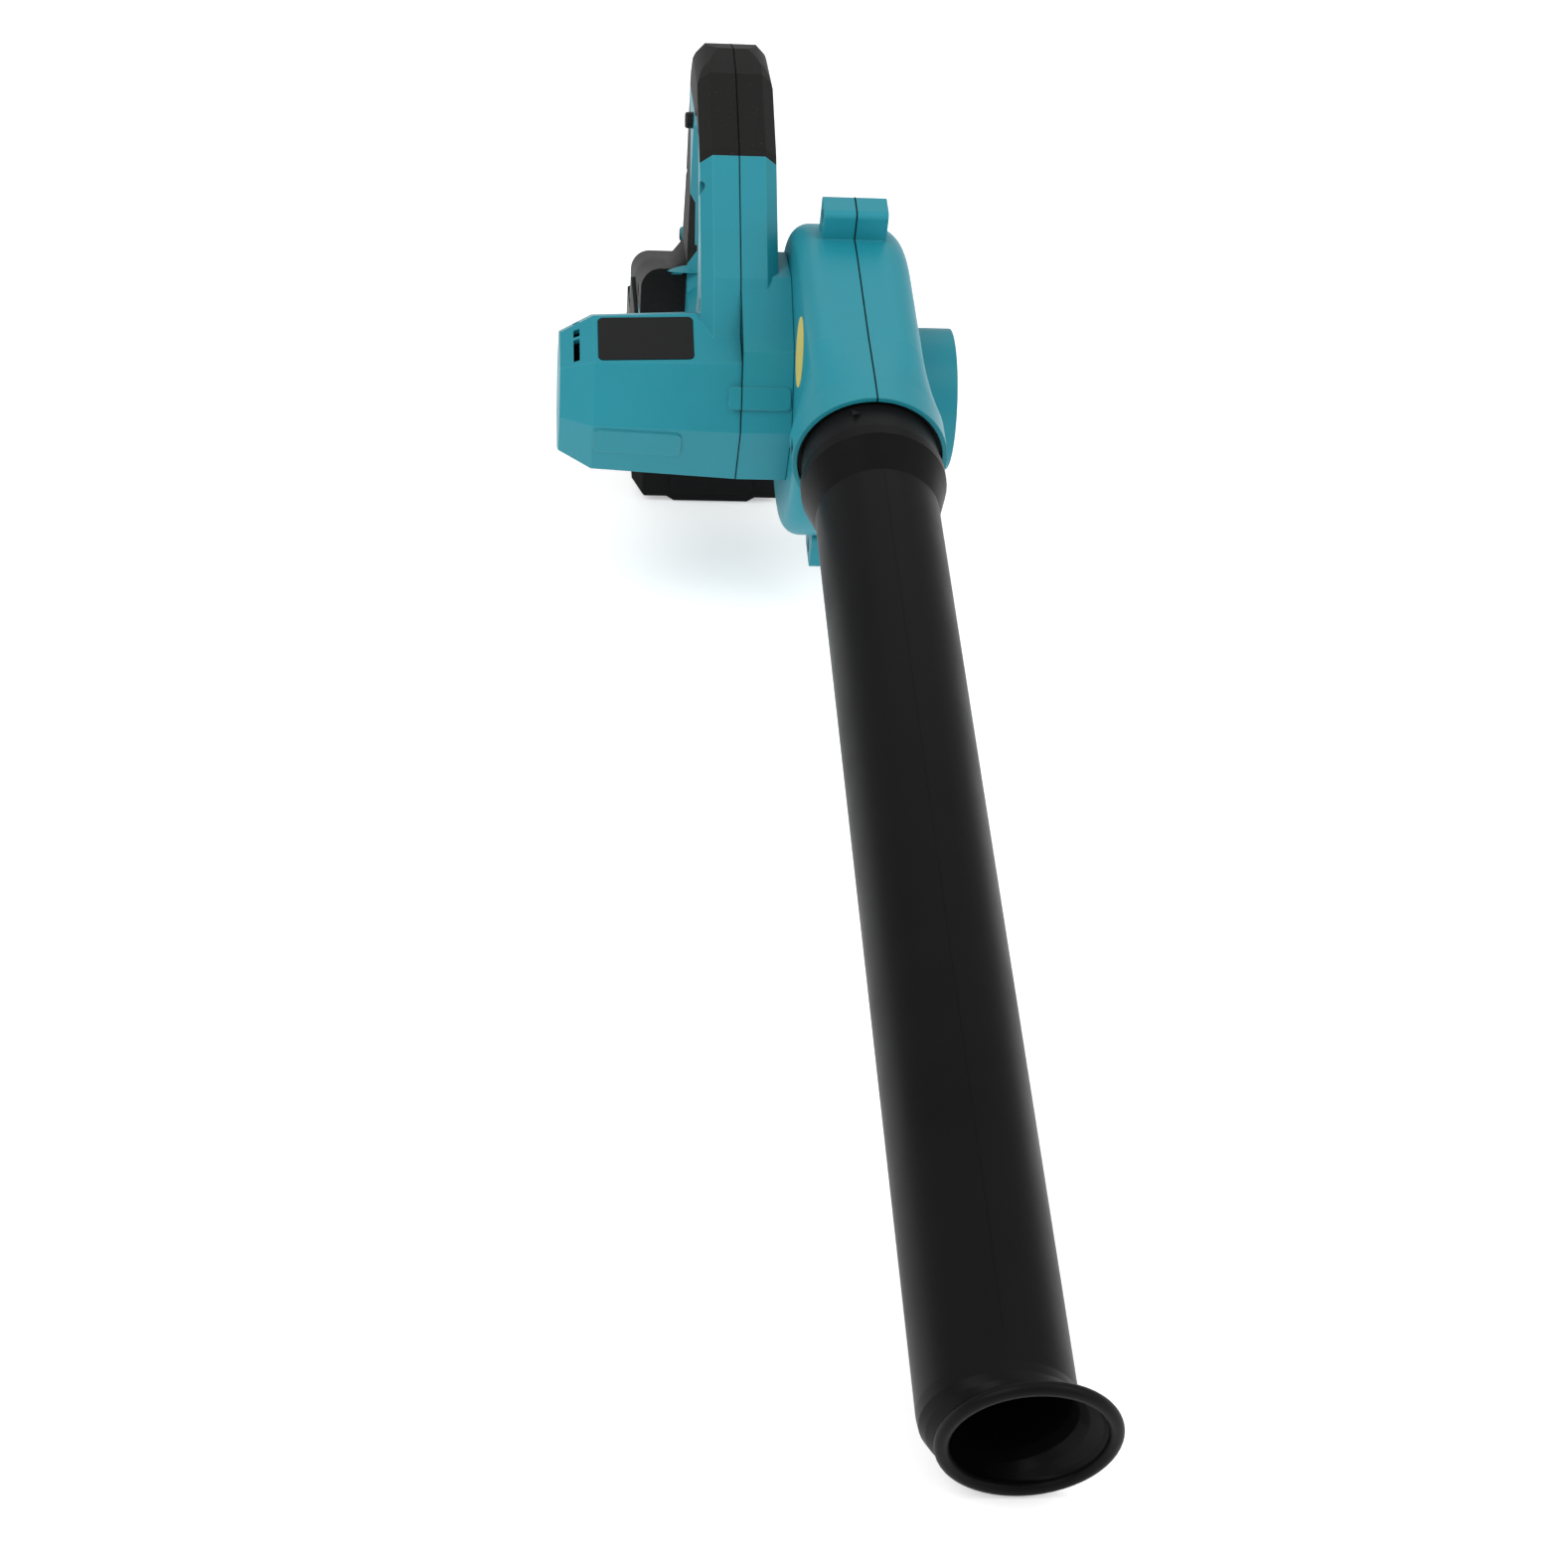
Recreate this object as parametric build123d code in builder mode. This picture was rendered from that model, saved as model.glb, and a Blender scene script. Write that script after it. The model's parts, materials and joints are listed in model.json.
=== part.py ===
"""Cordless garden blower: straight nozzle, volute fan case, motor pod, pistol-style loop handle, slide battery.

Frame: millimetres, +Z up, -Y the way the air leaves, +X towards the air intake.
Everything is drawn from a datum on the table straight below the fan shaft, in the plane of the nozzle,
and is stored with its origin at the centre of the battery's flat base, on the same table plane.
The blower stands on that base and on the underside of the nozzle lip.
"""
import os
from math import cos, sin, radians, degrees, atan2, hypot
from build123d import *

# ---------------------------------------------------------------- driving dimensions
nozzle_tilt = 12.0          # the nozzle points down by this much, degrees
hub_z = 99.6                # height of the fan shaft above the table
outlet_rise = 46.0          # nozzle axis above the shaft, square to the nozzle
outlet_reach = 100.0        # shaft to socket rim, along the nozzle
wall = 2.4                  # moulded wall thickness
gap = 0.3                   # clearance between pieces that move past each other

scroll_half = 24.0          # half width of the fan case
scroll_top_r = 76.0         # volute radius where it meets the outlet
scroll_step = 6.5           # the volute radius shrinks by this much each quarter turn
scroll_edge_r = 8.0         # rounding of the case edge on the motor side
scroll_soft_r = 14.0        # rounding of the case edge on the intake side
throat = 62.0               # shaft to the start of the round duct, along the nozzle
duct_r = 31.2               # outlet duct at the socket rim
socket_bore_r = 29.2

boss_r = 30.5               # intake boss
boss_end = 47.0
intake_r = 26.0

handle_x = -46.0            # the handle, motor seam and battery share this plane
handle_half = 16.6          # half width of the handle
seam_x = handle_x

pod_end_x = -122.0          # free end of the motor pod
pod_shoulder_x = -108.0
pod_end_r = 27.0            # corner radii of the octagonal pod
pod_shoulder_r = 35.0
pod_root_r = 38.4

foot_half = 37.0            # battery foot under the grip
foot_front = 92.0
foot_back = 196.0
foot_low = 62.4
foot_high = 118.0           # top of the foot at its front and back
foot_tail = 84.0
foot_round = 9.0

pack_half = 37.5            # battery pack
pack_front = 93.0
pack_back = 207.0
pack_high = 61.6
base_y = (pack_front + pack_back) / 2

impeller_r = 48.0
blade_count = 11

tube_r = 24.5               # nozzle tube
tube_wall = 1.8
nozzle_len = 462.0          # socket rim to the centre of the lip bead
lip_shift = 8.2             # the lip sits off centre towards +X
lip_r = 26.0
bead_r = 2.3
collar_r = 29.0
sleeve_r = 24.3             # spigot that enters the adapter ring
lug_r = 25.6                # bayonet lugs on the spigot
lug_deep = 4.0
unlock_turn = 30.0          # twist that brings the bayonet lugs to their entry slots
shell_t = 3.4               # rubber skin and the plastic under it
rubber_t = 1.6
shaft_r = 3.0
label_long = 40.0
label_wide = 24.0
label_x = -86.0

tilt_c = cos(radians(nozzle_tilt))
tilt_s = sin(radians(nozzle_tilt))
socket_y = -outlet_reach * tilt_c - outlet_rise * tilt_s
socket_z = hub_z - outlet_reach * tilt_s + outlet_rise * tilt_c

os.makedirs("parts", exist_ok=True)


# ---------------------------------------------------------------- helpers
def save(piece, name):
    """Label a finished piece, move it from the shaft datum to the stored frame and export it."""
    stored = piece.part.moved(Location((-handle_x, -base_y, 0)))
    stored.label = name
    export_step(stored, f"parts/{name}.step")


def along_nozzle(distance, shift=0.0):
    """Plane square to the nozzle, its normal the way the air leaves, its y axis up."""
    origin = (shift, socket_y - distance * tilt_c, socket_z - distance * tilt_s)
    return Plane(origin=origin, x_dir=(1, 0, 0), z_dir=(0, -tilt_c, -tilt_s))


def fan_side(x):
    """Plane square to the shaft through its axis, local x backwards along the nozzle, local y up."""
    return Plane(origin=(x, 0, hub_z), x_dir=(0, tilt_c, tilt_s), z_dir=(1, 0, 0))


def side(x):
    """Upright side plane, local x = +Y, local y = +Z, normal +X."""
    return Plane(origin=(x, 0, 0), x_dir=(0, 1, 0), z_dir=(1, 0, 0))


def shaft_plane(x):
    return Plane(origin=(x, 0, hub_z), x_dir=(0, 1, 0), z_dir=(1, 0, 0))


def polar(radius, angle):
    return (radius * cos(radians(angle)), radius * sin(radians(angle)))


def octagon(radius):
    return [polar(radius, 45 * k) for k in range(8)]


def x_rod(x0, x1, radius, centre=(0, 0)):
    """Solid rod along X between two stations, centre given from the shaft axis as (y, z)."""
    with BuildPart() as rod:
        with BuildSketch(shaft_plane(x0)):
            with Locations(centre):
                Circle(radius)
        extrude(amount=x1 - x0)
    return rod.part


def x_block(x0, x1, points):
    """Prism along X over an outline given as absolute (y, z) points."""
    with BuildPart() as block:
        with BuildSketch(side(x0)):
            with BuildLine():
                Polyline(points, close=True)
            make_face()
        extrude(amount=x1 - x0)
    return block.part


def slab(x0, x1, y0, y1, z0, z1):
    with BuildPart() as block:
        with Locations(((x0 + x1) / 2, (y0 + y1) / 2, (z0 + z1) / 2)):
            Box(x1 - x0, y1 - y0, z1 - z0)
    return block.part


left_side = slab(seam_x - 300, seam_x, -300, 400, -50, 400)
right_side = slab(seam_x, seam_x + 300, -300, 400, -50, 400)


# ---------------------------------------------------------------- fan case
def drum(inset, x0, x1):
    """Spiral fan chamber drawn with three quarter arcs, its front closed where the outlet leaves."""
    step = scroll_step
    r1 = scroll_top_r - step / 2 - inset
    r2 = r1 - step
    r3 = r2 - step
    top = (-step / 2, step / 2 + r1)
    back = (-step / 2 + r1, step / 2)
    bottom = (step / 2, step / 2 - r2)
    front = (step / 2 - r3, -step / 2)
    upper = (front[0], 48)
    ahead = (-28, top[1])
    with BuildPart() as chamber:
        with BuildSketch(fan_side(x0)):
            with BuildLine():
                RadiusArc(top, back, r1)
                RadiusArc(back, bottom, r2)
                RadiusArc(bottom, front, r3)
                Line(front, upper)
                Line(upper, ahead)
                Line(ahead, top)
            make_face()
        extrude(amount=x1 - x0)
        soft_rim = chamber.faces().filter_by(Axis.X).sort_by(Axis.X)[-1].edges()
        if inset > 0:
            chamfer(soft_rim, 8)
        else:
            fillet(soft_rim, scroll_soft_r)
        motor_rim = chamber.faces().filter_by(Axis.X).sort_by(Axis.X)[0].edges()
        if inset > 0:
            chamfer(motor_rim, 4.5)
        else:
            fillet(motor_rim, scroll_edge_r)
    return chamber.part


def duct(inset):
    """Outlet: a rounded box along the top of the drum that turns round at the socket rim."""
    with BuildSketch() as section:
        Rectangle(2 * scroll_half - 2 * inset, 60 - 2 * inset)
        fillet(section.vertices().sort_by(Axis.X)[2:], scroll_soft_r - inset)
        fillet(section.vertices().sort_by(Axis.X)[:2], scroll_edge_r - inset)
    with BuildPart() as pipe:
        with BuildSketch(along_nozzle(12 - outlet_reach)):
            add(section.sketch)
        extrude(amount=throat - 12)
        with BuildSketch(along_nozzle(throat - outlet_reach)):
            add(section.sketch)
        with BuildSketch(along_nozzle(-12)):
            Circle(duct_r - inset)
        loft()
        with BuildSketch(along_nozzle(-12)):
            Circle(duct_r - inset)
        extrude(amount=14)
    return pipe.part


def lug(y0, y1, z0, z1, half):
    with BuildPart() as block:
        with BuildSketch(fan_side(-half)):
            with Locations(((y0 + y1) / 2, (z0 + z1) / 2)):
                RectangleRounded(y1 - y0, z1 - z0, 2.5)
        extrude(amount=2 * half)
    return block.part


lug_list = [(9, 23, 70, 88, 13.5), (-33, -13, -70, -52, 10), (64, 80, -14, 4, 10)]
screw_spots = [(16, 81.5), (-23, -65), (74.5, -5)]

with BuildPart() as scroll_shell:
    add(drum(0, -scroll_half, scroll_half))
    add(duct(0))
    for spot in lug_list:
        add(lug(*spot))
    add(x_rod(scroll_half - 1, boss_end, boss_r))
    add(drum(wall, -scroll_half + wall, scroll_half - wall), mode=Mode.SUBTRACT)
    add(duct(wall), mode=Mode.SUBTRACT)
    with BuildSketch(along_nozzle(-14)):
        Circle(socket_bore_r)
    extrude(amount=20, mode=Mode.SUBTRACT)
    add(x_rod(scroll_half - wall - 1, boss_end - 5, intake_r), mode=Mode.SUBTRACT)
    add(x_rod(boss_end - 5, boss_end + 1, boss_r - 2), mode=Mode.SUBTRACT)
    add(x_rod(-scroll_half - 1, -scroll_half + wall + 1, 14), mode=Mode.SUBTRACT)
    # notches in the rim that key the adapter ring
    with BuildSketch(along_nozzle(-8.5)):
        Rectangle(2 * duct_r + 4, 7)
        Circle(20, mode=Mode.SUBTRACT)
    extrude(amount=8, mode=Mode.SUBTRACT)
    for spot in screw_spots:
        with BuildSketch(fan_side(-scroll_half)):
            with Locations(spot):
                Circle(1.6)
        extrude(amount=2 * scroll_half, mode=Mode.SUBTRACT)
    # the screw heads sit below the faces of the lugs
    for spot, lug_box in zip(screw_spots, lug_list):
        with BuildSketch(fan_side(-lug_box[4])):
            with Locations(spot):
                Circle(3.3)
        extrude(amount=2.4, mode=Mode.SUBTRACT)

with BuildPart() as scroll_inner:
    add(scroll_shell.part)
    split(bisect_by=Plane.YZ, keep=Keep.BOTTOM)

with BuildPart() as scroll_outer:
    add(scroll_shell.part)
    split(bisect_by=Plane.YZ, keep=Keep.TOP)

save(scroll_inner, "scroll_inner")
save(scroll_outer, "scroll_outer")


# ---------------------------------------------------------------- intake grille and outlet socket
with BuildPart() as intake_grille:
    with BuildSketch(shaft_plane(boss_end - 4.6)):
        Circle(boss_r - 2 - 0.05)
        Circle(intake_r - 0.5, mode=Mode.SUBTRACT)
        for ring in (19.5, 13.0):
            with Locations((0, 0)):
                Circle(ring)
                Circle(ring - 1.6, mode=Mode.SUBTRACT)
        Circle(6.5)
        with PolarLocations(0, 8):
            with Locations((16, 0)):
                Rectangle(21, 1.8)
    extrude(amount=3.2)
save(intake_grille, "intake_grille")

with BuildPart() as adapter_ring:
    with BuildSketch(along_nozzle(-13.5)):
        Circle(socket_bore_r - 0.05)
    extrude(amount=13.5)
    with BuildSketch(along_nozzle(0)):
        Circle(27.6)
    extrude(amount=15.5)
    with BuildSketch(along_nozzle(-8)):
        Rectangle(2 * duct_r - 1.0, 6)
        Circle(20, mode=Mode.SUBTRACT)
    extrude(amount=7)
    with BuildSketch(along_nozzle(-14)):
        Circle(sleeve_r + 0.2)
    extrude(amount=30, mode=Mode.SUBTRACT)
    # annular track for the bayonet lugs and the two entry slots that lead to it
    with BuildSketch(along_nozzle(2)):
        Circle(lug_r + gap)
    extrude(amount=lug_deep + 2 * gap, mode=Mode.SUBTRACT)
    with BuildSketch(along_nozzle(2)):
        with PolarLocations(0, 2, unlock_turn):
            with Locations((lug_r - 1.5, 0)):
                Rectangle(5, 9)
    extrude(amount=14, mode=Mode.SUBTRACT)
    # small arrow that shows the locked position
    with BuildSketch(Plane(origin=(0, socket_y - 7 * tilt_c - 27.2 * tilt_s, socket_z - 7 * tilt_s + 27.2 * tilt_c),
                           x_dir=(1, 0, 0), z_dir=(0, -tilt_s, tilt_c))):
        with Locations((-9, 0)):
            RegularPolygon(2.2, 3)
    extrude(amount=0.4)
save(adapter_ring, "adapter_ring")

# ---------------------------------------------------------------- nozzle
# rings of the short shoulder behind the lip: distance back from the lip, sideways shift, radius
lip_rise = 11.0
lip_rings = [(lip_rise, 0, tube_r), (7, 0.9, tube_r + 0.4), (4, 3.2, tube_r + 0.9), (1.5, 6.4, tube_r + 1.4),
             (-0.4, lip_shift, lip_r)]

with BuildPart() as nozzle:
    with BuildSketch(along_nozzle(16.2)):
        Circle(collar_r)
    extrude(amount=5)
    with BuildSketch(along_nozzle(21.2)):
        Circle(collar_r)
    with BuildSketch(along_nozzle(38)):
        Circle(tube_r)
    loft()
    with BuildSketch(along_nozzle(38)):
        Circle(tube_r)
    extrude(amount=nozzle_len - lip_rise - 38)
    for (d0, x0, r0), (d1, x1, r1) in zip(lip_rings, lip_rings[1:]):
        with BuildSketch(along_nozzle(nozzle_len - d0, x0)):
            Circle(r0)
        with BuildSketch(along_nozzle(nozzle_len - d1, x1)):
            Circle(r1)
        loft(ruled=True)
    with BuildSketch(along_nozzle(-3)):
        Circle(sleeve_r)
    extrude(amount=19.2)
    with BuildSketch(along_nozzle(2 + gap)):
        with PolarLocations(0, 2):
            with Locations((lug_r - 2, 0)):
                Rectangle(4, 7)
    extrude(amount=lug_deep)
    # bore
    with BuildSketch(along_nozzle(-4)):
        Circle(tube_r - tube_wall)
    extrude(amount=nozzle_len - lip_rise + 4, mode=Mode.SUBTRACT)
    for (d0, x0, r0), (d1, x1, r1) in zip(lip_rings, lip_rings[1:]):
        with BuildSketch(along_nozzle(nozzle_len - d0, x0)):
            Circle(r0 - tube_wall)
        with BuildSketch(along_nozzle(nozzle_len - d1, x1)):
            Circle(r1 - tube_wall)
        loft(ruled=True, mode=Mode.SUBTRACT)
    # rolled bead round the mouth
    with BuildSketch(Plane(origin=along_nozzle(nozzle_len, lip_shift).origin, x_dir=(1, 0, 0), z_dir=(0, -tilt_s, tilt_c))):
        with Locations((lip_r, 0)):
            Circle(bead_r)
    revolve(axis=Axis(along_nozzle(nozzle_len, lip_shift).origin, (0, -tilt_c, -tilt_s)))
save(nozzle, "nozzle")


# ---------------------------------------------------------------- handle outline
handle_front = [(-14, 112), (-16, 128), (1, 153), (46, 194), (84, 213.5), (104, 217.8), (121, 214), (131, 202)]
handle_back = [(133, 196), (131, 150), (136, 122), (136, 100)]
loop_hole = [(26, 136), (36, 158), (62, 186), (80, 192), (88, 184), (90, 128), (80, 116), (38, 116)]


def crown(inset):
    """Upright prism with a well rounded top that softens the crest of the handle."""
    with BuildPart() as form:
        with BuildSketch(Plane(origin=(handle_x, -60, 0), x_dir=(-1, 0, 0), z_dir=(0, 1, 0))) as arch:
            with Locations((0, 109.2 - inset / 2)):
                Rectangle(2 * (handle_half + 0.5 - inset), 218.4 - inset)
            fillet(arch.vertices().sort_by(Axis.Y)[2:], 15 - inset)
        extrude(amount=300)
    return form.part


def handle_solid(inset):
    """Whole handle from the pod to the battery foot, shrunk evenly by inset; its long edges are chamfered."""
    half = handle_half - inset
    with BuildPart() as body:
        with BuildSketch(side(handle_x - half)):
            with BuildLine():
                Polyline(handle_front + handle_back + [(92, 84), (10, 84)], close=True)
            make_face()
            with BuildLine():
                Polyline(loop_hole, close=True)
            make_face(mode=Mode.SUBTRACT)
            if inset > 0:
                offset(amount=-inset, kind=Kind.INTERSECTION)
        extrude(amount=2 * half)
        long_edges = body.faces().filter_by(Axis.X).edges()
        chamfer(long_edges, 5.2 - inset * 0.6)
        add(crown(inset), mode=Mode.INTERSECT)
    return body.part


def foot_solid(inset):
    """Battery foot: a deep block whose top slopes down to the back, with round shoulders and a flare to the grip."""
    half = foot_half - inset
    fall = (foot_high - foot_tail) / (foot_back - foot_front)
    drop = inset * hypot(1, fall)
    front = foot_front + inset
    back = foot_back - inset
    with BuildPart() as foot:
        with BuildSketch(side(handle_x - half)):
            with BuildLine():
                Polyline((front, foot_low + inset), (back, foot_low + inset),
                         (back, foot_high - fall * (back - foot_front) - drop),
                         (front, foot_high - fall * (front - foot_front) - drop), close=True)
            make_face()
        extrude(amount=2 * half)
        tail = [e for e in foot.edges() if abs(e.center().Y - back) < 0.01 and e.center().Z > foot_low + inset + 1]
        top = [e for e in foot.edges() if e.center().Z > 95 and abs(e.center().X - handle_x) > 10
               and abs(e.center().Y - front) > 1]
        fillet(tail + [e for e in top if e not in tail], foot_round - inset)
        middle = (loop_hole[5][0] + handle_back[1][0]) / 2
        deep = handle_back[1][0] - loop_hole[5][0]
        with BuildSketch(Plane(origin=(handle_x, middle, foot_high - fall * (middle - foot_front) - drop - 1),
                               x_dir=(1, 0, 0), z_dir=(0, sin(atan2(fall, 1)), cos(atan2(fall, 1))))) as skirt:
            RectangleRounded(2 * (handle_half + 9 - inset), deep + 16 - 2 * inset, 8)
        with BuildSketch(Plane(origin=(handle_x, middle + 1, foot_high - fall * (middle - foot_front) + 9),
                               x_dir=(1, 0, 0), z_dir=(0, 0, 1))):
            RectangleRounded(2 * (handle_half - 1 - inset), deep - 6 - 2 * inset, 5)
        loft(ruled=True)
    return foot.part


def pod_solid(inset):
    """Octagonal motor pod that widens towards the fan, with a tapered free end."""
    trim = inset / cos(radians(22.5))
    with BuildPart() as pod:
        stations = [(pod_end_x + inset, pod_end_r), (pod_shoulder_x, pod_shoulder_r)]
        for x, radius in stations:
            with BuildSketch(shaft_plane(x)):
                Polygon(*octagon(radius - trim), align=None)
        loft(ruled=True)
        with BuildSketch(shaft_plane(pod_shoulder_x)):
            Polygon(*octagon(pod_shoulder_r - trim), align=None)
        with BuildSketch(shaft_plane(seam_x)):
            Polygon(*octagon(pod_root_r - trim), align=None)
        loft(ruled=True)
    return pod.part


def root_solid(inset):
    """Block between the handle plane and the fan case, humped on top to carry the handle."""
    outline = [(-38.4, 0), (-27.2, -27.2), (0, -38.4), (27.2, -27.2), (38.4, 0), (40, 40), (32, 53),
               (4, 53), (-28, 33)]
    with BuildPart() as block:
        with BuildSketch(shaft_plane(seam_x)):
            Polygon(*outline, align=None)
            if inset > 0:
                offset(amount=-inset, kind=Kind.INTERSECTION)
        extrude(amount=-scroll_half - 0.2 - seam_x - inset)
    return block.part


def facet_plane(x, angle):
    """Plane lying on one flat of the pod at station x, its normal outwards."""
    slope = (pod_root_r - pod_shoulder_r) / (seam_x - pod_shoulder_x)
    flat = cos(radians(22.5))
    radius = (pod_shoulder_r + slope * (x - pod_shoulder_x)) * flat
    lean = atan2(slope * flat, 1)
    out_y, out_z = cos(radians(angle)), sin(radians(angle))
    return Plane(origin=(x, radius * out_y, hub_z + radius * out_z),
                 x_dir=(cos(lean), sin(lean) * out_y, sin(lean) * out_z),
                 z_dir=(-sin(lean), cos(lean) * out_y, cos(lean) * out_z))


bridge = [(20, 84), (20, 116), (98, 116), (98, 84)]

# ---------------------------------------------------------------- clamshell housing
with BuildPart() as envelope:
    add(handle_solid(0))
    add(foot_solid(0))
    add(pod_solid(0))
    add(root_solid(0))
    add(x_block(handle_x - 12, handle_x + 12, bridge))
    # clip rib over the seam, seen from the front
    with BuildSketch(Plane(origin=(-38, 0, hub_z), x_dir=(1, 0, 0), z_dir=(0, -cos(radians(22.5)), sin(radians(22.5))))):
        with Locations((0, 0)):
            RectangleRounded(26, 9.4, 2)
    extrude(amount=pod_root_r * cos(radians(22.5)) + 2.2)
    # grip pad along the lower front of the pod
    with BuildSketch(facet_plane(-89, 202.5)):
        with Locations((0, 5.2)):
            RectangleRounded(37, 13.2, 2.5)
    extrude(amount=0.7)
    with BuildSketch(facet_plane(-89, 202.5)):
        with Locations((0, 5.2)):
            RectangleRounded(37, 13.2, 2.5)
    extrude(amount=-1)

with BuildPart() as cavity:
    add(handle_solid(shell_t))
    add(foot_solid(shell_t))
    add(pod_solid(wall))
    add(root_solid(wall))
    add(x_block(handle_x - 8, handle_x + 8, [(10, 90), (10, 110), (110, 110), (110, 90)]))

# rubber overmould: cap on top of the handle, sleeve on the grip and on the shoulders of the foot
cap_zone = x_block(-80, -10, [(30, 206), (43, 191.6), (46, 186), (53, 189.6), (61, 192.7), (150, 192.7), (150, 240), (30, 240)])
sleeve_zone = (x_block(-64.5, -27.5, [(92, 96), (92, 150), (108, 176), (125, 186), (150, 186), (150, 96)])
               + x_block(-100, 10, [(91, 96), (150, 83), (201, 72), (201, 130), (91, 130)]))

with BuildPart() as skin:
    add(handle_solid(0))
    add(foot_solid(0))
    add(handle_solid(rubber_t), mode=Mode.SUBTRACT)
    add(foot_solid(rubber_t), mode=Mode.SUBTRACT)

with BuildPart() as cap:
    add(skin.part)
    add(cap_zone, mode=Mode.INTERSECT)

with BuildPart() as sleeve:
    add(skin.part)
    add(sleeve_zone, mode=Mode.INTERSECT)
    add(x_block(handle_x - 12, handle_x + 12, bridge), mode=Mode.SUBTRACT)

with BuildPart() as shell:
    add(envelope.part)
    add(cavity.part, mode=Mode.SUBTRACT)
    add(cap.part, mode=Mode.SUBTRACT)
    add(sleeve.part, mode=Mode.SUBTRACT)

# ---------------------------------------------------------------- cuts, bosses and the two housing halves
def side_rod(x0, x1, radius, spot):
    """Rod along X through an absolute (y, z) spot."""
    return x_rod(x0, x1, radius, (spot[0], spot[1] - hub_z))


shell_screws = [(6, 138), (38, 178), (114, 200), (123, 152), (114, 98), (182, 98), (60, 100)]
button_spot = (99, 186)
trigger_half = 5.2

with BuildPart() as housing:
    add(shell.part)
    # screw pillars inside the shells
    for spot in shell_screws:
        add(side_rod(handle_x - 14, handle_x + 14, 3.6, spot))
    for spot in shell_screws:
        add(side_rod(handle_x - 13, handle_x + 9, 1.45, spot), mode=Mode.SUBTRACT)
        add(side_rod(handle_x - 40, handle_x - 12.5, 3.2, spot), mode=Mode.SUBTRACT)
    add(sleeve.part, mode=Mode.SUBTRACT)
    # motor shaft passes into the fan case
    add(x_rod(-32, -20, 14), mode=Mode.SUBTRACT)
    # openings for trigger and cross button
    add(slab(handle_x - trigger_half - 0.4, handle_x + trigger_half + 0.4, 80, 96, 158.6, 182), mode=Mode.SUBTRACT)
    add(side_rod(handle_x - 20, handle_x + 20, 3.9, button_spot), mode=Mode.SUBTRACT)
    # T-slot for the battery rails
    add(slab(handle_x - 24.6, handle_x + 24.6, 96, foot_back + 1, foot_low - 1, foot_low + 4), mode=Mode.SUBTRACT)
    add(slab(handle_x - 28.6, handle_x + 28.6, 96, foot_back + 1, foot_low + 2.8, foot_low + 7.6), mode=Mode.SUBTRACT)
    # cooling slots round the free end of the pod, none where the palm guard is
    for angle in (112.5, 67.5, 22.5, -22.5, -67.5):
        with BuildSketch(Plane(origin=(-115, 0, hub_z), x_dir=(1, 0, 0),
                               z_dir=(0, cos(radians(angle)), sin(radians(angle))))):
            with Locations((0, 6.6), (0, -3.6)):
                Rectangle(2.6, 4.4)
            with Locations((0, -3.2)):
                Rectangle(2.6, 12.6)
        extrude(amount=40, mode=Mode.SUBTRACT)
    with BuildSketch(facet_plane(label_x, 112.5)):
        RectangleRounded(label_long + 0.6, label_wide + 0.6, 2.4)
    extrude(amount=-0.5, mode=Mode.SUBTRACT)

with BuildPart() as housing_left:
    add(housing.part)
    add(right_side, mode=Mode.SUBTRACT)

with BuildPart() as housing_right:
    add(housing.part)
    add(left_side, mode=Mode.SUBTRACT)

with BuildPart() as grip_cap_left:
    add(cap.part)
    add(right_side, mode=Mode.SUBTRACT)

with BuildPart() as grip_cap_right:
    add(cap.part)
    add(left_side, mode=Mode.SUBTRACT)

with BuildPart() as grip_sleeve_left:
    add(sleeve.part)
    for spot in shell_screws:
        add(side_rod(handle_x - 60, handle_x - 10, 3.2, spot), mode=Mode.SUBTRACT)
    add(right_side, mode=Mode.SUBTRACT)

with BuildPart() as grip_sleeve_right:
    add(sleeve.part)
    add(left_side, mode=Mode.SUBTRACT)

save(housing_left, "housing_left")
save(housing_right, "housing_right")
save(grip_cap_left, "grip_cap_left")
save(grip_cap_right, "grip_cap_right")
save(grip_sleeve_left, "grip_sleeve_left")
save(grip_sleeve_right, "grip_sleeve_right")


def screws(seats, length, name):
    """Round-head screws along +X with a cross recess, all in one node; each seat is ((y, z), head x)."""
    with BuildPart() as group:
        for spot, head_x in seats:
            add(side_rod(head_x, head_x + 2, 2.8, spot))
            add(side_rod(head_x + 1, head_x + length, 1.4, spot))
        for spot, head_x in seats:
            with BuildSketch(Plane(origin=(head_x, spot[0], spot[1]), x_dir=(0, 1, 0), z_dir=(1, 0, 0))):
                Rectangle(3.0, 0.7)
                Rectangle(0.7, 3.0)
            extrude(amount=1.2, mode=Mode.SUBTRACT)
    save(group, name)


screws([(spot, handle_x - 14.5) for spot in shell_screws], 20, "case_screws")


def lug_spot(spot):
    """Absolute (y, z) of a screw given in the nozzle-aligned fan frame."""
    return (spot[0] * tilt_c - spot[1] * tilt_s, hub_z + spot[0] * tilt_s + spot[1] * tilt_c)


screws([(lug_spot(s), 0.4 - lug_box[4]) for s, lug_box in zip(screw_spots, lug_list)], 18, "scroll_screws")

with BuildPart() as label_plate:
    with BuildSketch(facet_plane(label_x, 112.5)):
        RectangleRounded(label_long, label_wide, 2.2)
    extrude(amount=-0.4)
    with BuildSketch(facet_plane(label_x, 112.5)):
        RectangleRounded(label_long, label_wide, 2.2)
    extrude(amount=0.2)
save(label_plate, "label_plate")

with BuildPart() as oval_sticker:
    with BuildSketch(Plane(origin=(-scroll_half - 0.02, -46, 141), x_dir=(0, tilt_c, tilt_s), z_dir=(-1, 0, 0))):
        Ellipse(12.5, 15.5)
    extrude(amount=0.25)
save(oval_sticker, "oval_sticker")

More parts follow.
